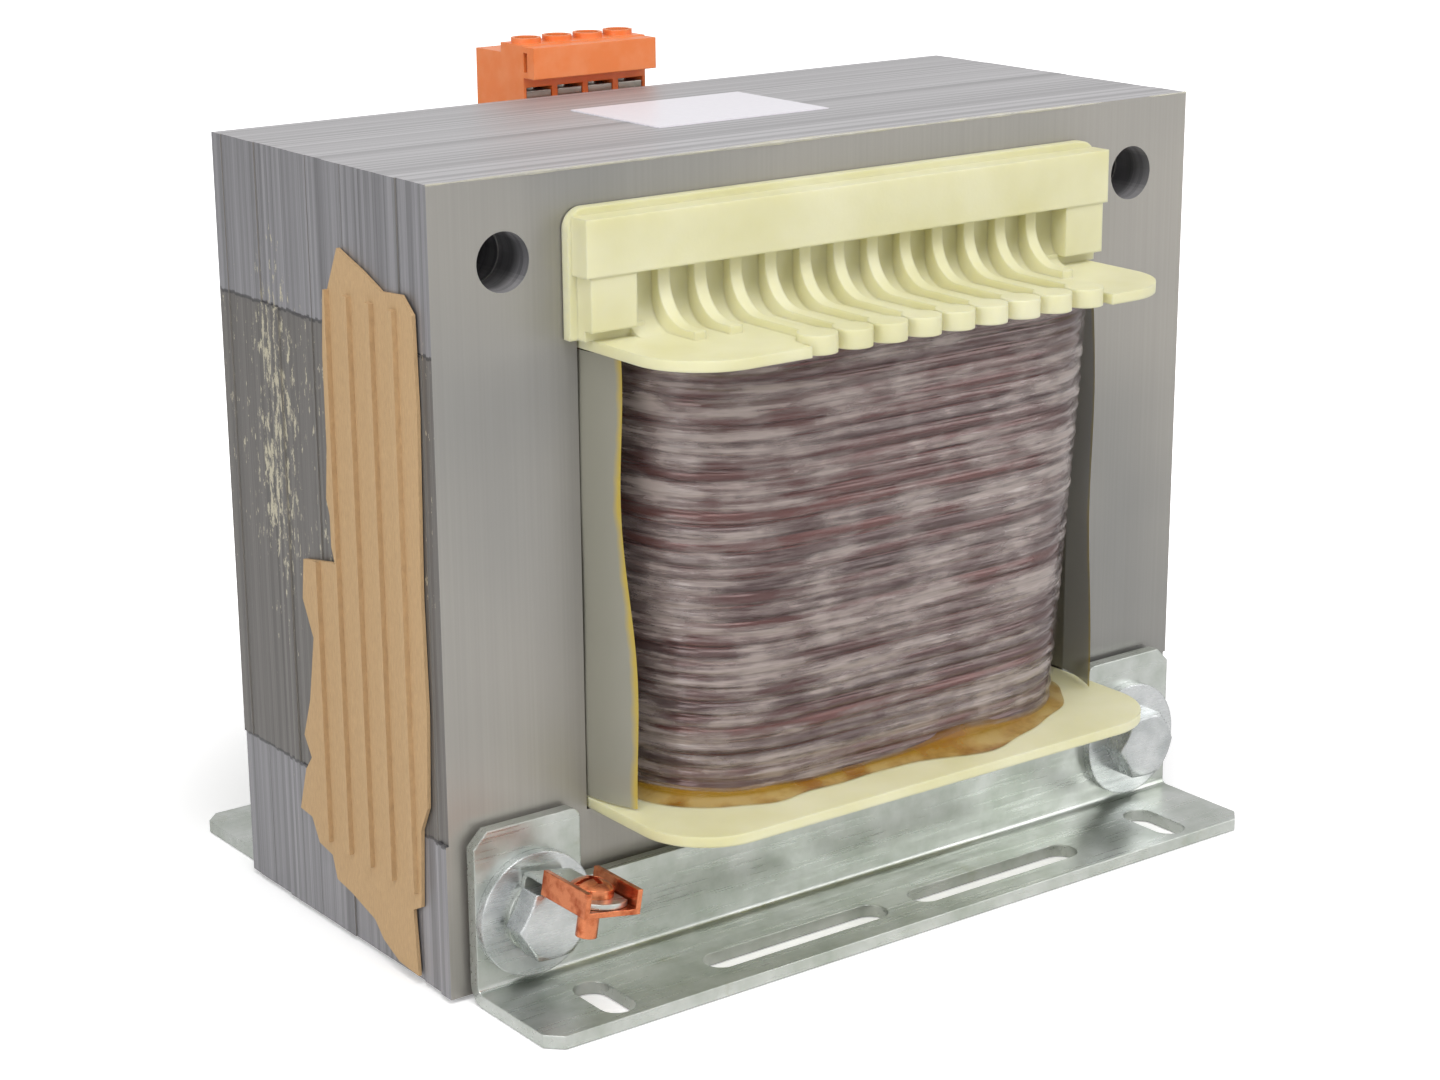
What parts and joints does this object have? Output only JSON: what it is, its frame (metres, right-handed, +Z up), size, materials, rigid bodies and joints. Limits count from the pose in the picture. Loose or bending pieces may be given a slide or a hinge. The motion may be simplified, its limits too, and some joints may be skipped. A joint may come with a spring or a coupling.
{
  "type": "laminated chassis transformer",
  "caption": "Open-frame mains transformer with an interleaved E and I lamination core, taped winding, slotted foot brackets, earth terminal and a screw terminal block.",
  "frame": {"origin": "middle of the pattern of long foot slots, on the plane the feet stand on", "axes": "+X along the feet, +Y from the side with the earth terminal to the side with the terminal block, +Z up"},
  "size_m": [0.1822, 0.1415, 0.1615],
  "materials": {
    "lamination_steel": "bare rolled electrical steel with a thin varnish",
    "former_nylon": "natural nylon, slightly translucent",
    "enamelled_copper": "red-brown enamel on copper wire",
    "insulating_paper": "varnished insulating paper",
    "clear_film": "clear polyester film, varnished",
    "zinc_plated_steel": "zinc-plated sheet steel",
    "bolt_steel": "bright zinc plate",
    "pressboard": "hard pressed board",
    "copper_plate": "bright copper plate",
    "orange_plastic": "moulded orange polyamide",
    "tinned_brass": "tin plate",
    "label_paper": "blank white paper",
    "torn_cardboard": "torn, fibrous"
  },
  "bodies": {
    "root": {"e_laminations_up": "lamination_steel", "e_laminations_down": "lamination_steel", "i_laminations_top": "lamination_steel", "i_laminations_bottom": "lamination_steel", "former_tube": "former_nylon", "upper_flange": "former_nylon", "lower_flange": "former_nylon", "inner_winding": "enamelled_copper", "interwinding_insulation": "insulating_paper", "outer_winding": "enamelled_copper", "outer_tape": "clear_film", "window_films": "clear_film", "front_bracket": "zinc_plated_steel", "rear_bracket": "zinc_plated_steel", "clamping_bolts": "bolt_steel", "clamping_nuts": "bolt_steel", "spring_washers": "bolt_steel", "front_washers": "bolt_steel", "rear_washers": "bolt_steel", "insulating_washers": "pressboard", "bolt_sleeves": "pressboard", "earth_tab": "zinc_plated_steel", "earth_clamp": "copper_plate", "earth_screw": "copper_plate", "terminal_housing": "orange_plastic", "terminal_cages": "bolt_steel", "terminal_screws": "bolt_steel", "terminal_tags": "tinned_brass", "lead_wires": "enamelled_copper", "blank_label": "label_paper", "cardboard_remnant": "torn_cardboard"}
  },
  "joints": []
}
